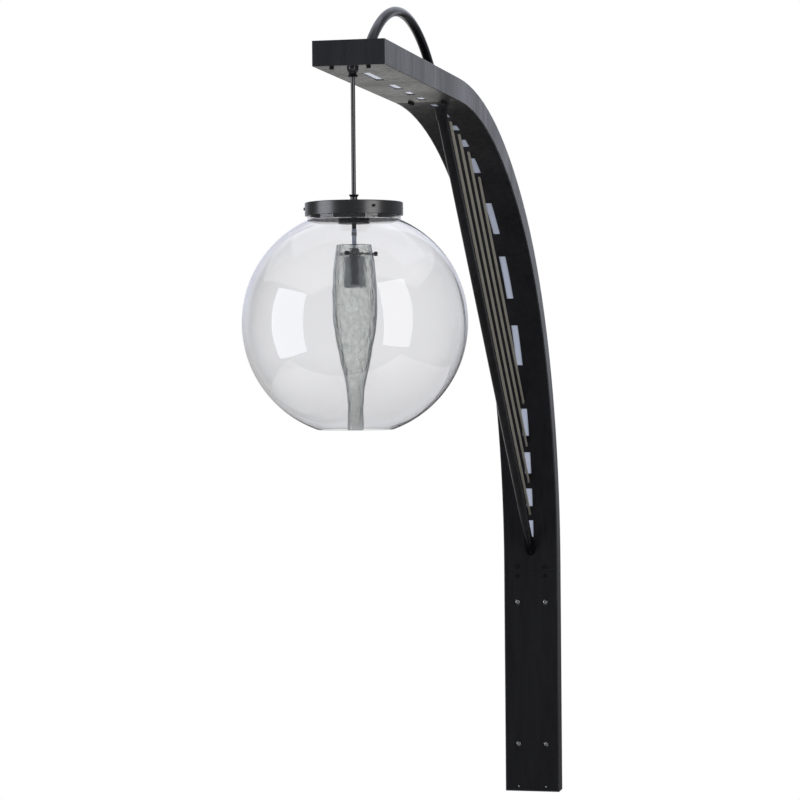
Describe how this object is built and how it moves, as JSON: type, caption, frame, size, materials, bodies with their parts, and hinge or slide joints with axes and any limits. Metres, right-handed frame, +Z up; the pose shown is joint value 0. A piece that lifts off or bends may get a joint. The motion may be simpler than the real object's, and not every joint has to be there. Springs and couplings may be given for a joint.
{
  "type": "wall sconce",
  "caption": "Tall black wall lamp: a box-section arm bends over, braced by a strut and taut strings, and hangs a clear globe with a glass shade from a level head.",
  "frame": {"origin": "middle of the four wall holes of the bracket, on the wall's surface", "axes": "+Z up, +Y into the wall, so the lamp stands out towards -Y; +X to the right seen from the front"},
  "size_m": [0.4063, 2.0464, 1.746],
  "materials": {
    "black_powder_coat": "satin black powder coat with fine texture",
    "black_cover": "matt black powder coat",
    "black_tube": "semi-gloss black powder coat",
    "black_fittings": "semi-gloss black",
    "black_screws": "matt black oxide",
    "inner_steel": "plain steel",
    "zinc_plate": "bright zinc plate",
    "stainless_rope": "stranded stainless rope",
    "steel_tube": "satin steel",
    "opal_acrylic": "opal, satin face",
    "opal_head": "opal, lit from behind",
    "tray_aluminium": "mill finish",
    "light_board": "white solder mask",
    "driver_case": "moulded case",
    "block_plastic": "moulded",
    "cable_jacket": "smooth jacket",
    "clear_acrylic": "clear, polished",
    "rippled_glass": "clear glass with ripples",
    "cup_glass": "smoky clear glass"
  },
  "bodies": {
    "root": {"arm_side_left": "black_powder_coat", "arm_side_right": "black_powder_coat", "arm_spine": "black_powder_coat", "head_end_plate": "black_powder_coat", "base_bottom_plate": "black_powder_coat", "head_cover": "black_powder_coat", "curve_cover": "black_cover", "base_cover": "black_cover", "hanger_plate": "inner_steel", "upper_seam_strap": "inner_steel", "lower_seam_strap": "inner_steel", "foot_strap": "inner_steel", "wall_bracket": "zinc_plate", "base_back_plate": "inner_steel", "mount_sleeves": "zinc_plate", "mount_bolts": "zinc_plate", "head_lens": "opal_head", "curve_lens": "opal_acrylic", "head_led_tray": "tray_aluminium", "curve_led_tray": "tray_aluminium", "head_led_board": "light_board", "curve_led_board": "light_board", "led_driver": "driver_case", "terminal_blocks": "block_plastic", "lamp_cable": "cable_jacket", "cable_clips": "zinc_plate", "strut": "black_tube", "strut_collars": "black_tube", "strut_sockets": "inner_steel", "loop_tube": "black_tube", "cover_screws": "black_screws", "foot_screws": "zinc_plate", "string_1": "stainless_rope", "string_2": "stainless_rope", "string_3": "stainless_rope", "string_4": "stainless_rope", "string_sockets": "inner_steel"},
    "swivel": {"swivel_body": "black_fittings", "swivel_nut": "black_fittings", "pivot_pin": "black_fittings"},
    "pendant": {"stem_eye": "black_fittings", "stem_tube": "black_fittings", "stem_coupling": "black_fittings", "fitter": "black_fittings", "neck_plate": "black_fittings", "globe": "clear_acrylic", "inner_stem": "black_fittings", "inner_ring": "steel_tube", "inner_coupling": "black_fittings", "lower_tube": "steel_tube", "lamp_socket": "block_plastic", "lamp_cup": "cup_glass", "shade_spider": "black_fittings", "shade": "rippled_glass"},
    "shade_screw_1": {"shade_screw_1": "black_screws"},
    "shade_screw_2": {"shade_screw_2": "black_screws"},
    "shade_screw_3": {"shade_screw_3": "black_screws"},
    "fitter_screw_1": {"fitter_screw_1": "black_screws"},
    "fitter_screw_2": {"fitter_screw_2": "black_screws"},
    "fitter_screw_3": {"fitter_screw_3": "black_screws"}
  },
  "joints": [
    {"name": "swivel_turn", "type": "hinge", "parent": "root", "child": "swivel", "pos_m": [0, -1.8432, 1.29449], "axis": [0, 0, 1], "range_deg": [-170, 170]},
    {"name": "pendant_tilt", "type": "hinge", "parent": "swivel", "child": "pendant", "pos_m": [0, -1.8432, 1.28649], "axis": [1, 0, 0], "range_deg": [-20, 20]},
    {"name": "shade_screw_1_out", "type": "slide", "parent": "pendant", "child": "shade_screw_1", "axis": [0.9135, 0.4067, 0], "range_m": [0, 0.01]},
    {"name": "shade_screw_2_out", "type": "slide", "parent": "pendant", "child": "shade_screw_2", "axis": [-0.809, 0.5878, 0], "range_m": [0, 0.01]},
    {"name": "shade_screw_3_out", "type": "slide", "parent": "pendant", "child": "shade_screw_3", "axis": [-0.1045, -0.9945, 0], "range_m": [0, 0.01]},
    {"name": "fitter_screw_1_out", "type": "slide", "parent": "pendant", "child": "fitter_screw_1", "axis": [-0.9925, -0.1219, 0], "range_m": [0, 0.003]},
    {"name": "fitter_screw_2_out", "type": "slide", "parent": "pendant", "child": "fitter_screw_2", "axis": [0.6018, -0.7986, 0], "range_m": [0, 0.003]},
    {"name": "fitter_screw_3_out", "type": "slide", "parent": "pendant", "child": "fitter_screw_3", "axis": [0.3907, 0.9205, 0], "range_m": [0, 0.003]}
  ]
}
